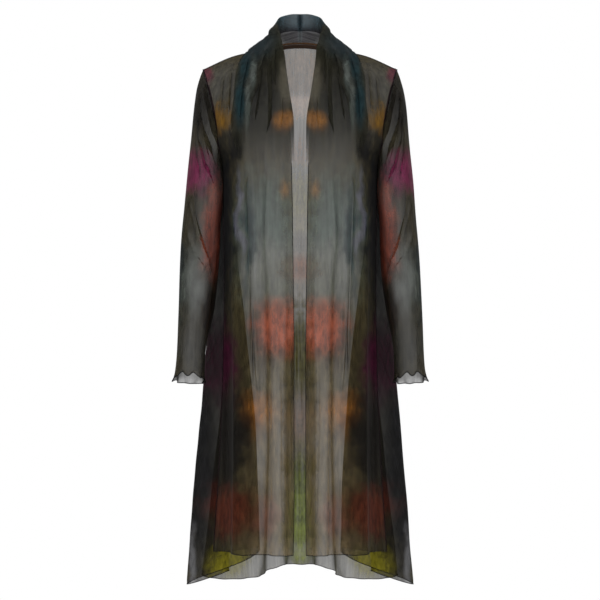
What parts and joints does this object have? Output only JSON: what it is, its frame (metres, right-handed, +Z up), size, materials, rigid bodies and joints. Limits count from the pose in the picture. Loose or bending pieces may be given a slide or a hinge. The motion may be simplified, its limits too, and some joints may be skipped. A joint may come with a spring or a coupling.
{
  "type": "sheer mesh duster jacket, worn shape",
  "caption": "Sheer open-front mesh jacket of duster length: draped shawl collar, long sleeves with frilled cuffs, flared high-low hem.",
  "frame": {"origin": "on the centre plane, level with the neck ends of the shoulder seams, where the wearer's shoulders hold the jacket up", "axes": "+Z up, the front faces -Y, the wearer's left is +X"},
  "size_m": [0.5132, 0.3206, 1.1593],
  "materials": {
    "front": "fine printed nylon mesh, sheer",
    "back": "fine printed nylon mesh, sheer",
    "sleeve": "fine printed nylon mesh, sheer",
    "collar": "fine printed nylon mesh, sheer",
    "tape": "woven cotton tape"
  },
  "bodies": {
    "root": {"front_left": "front", "front_right": "front", "back": "back", "sleeve_left": "sleeve", "sleeve_right": "sleeve", "collar_left": "collar", "collar_right": "collar", "neck_tape": "tape"}
  },
  "joints": []
}
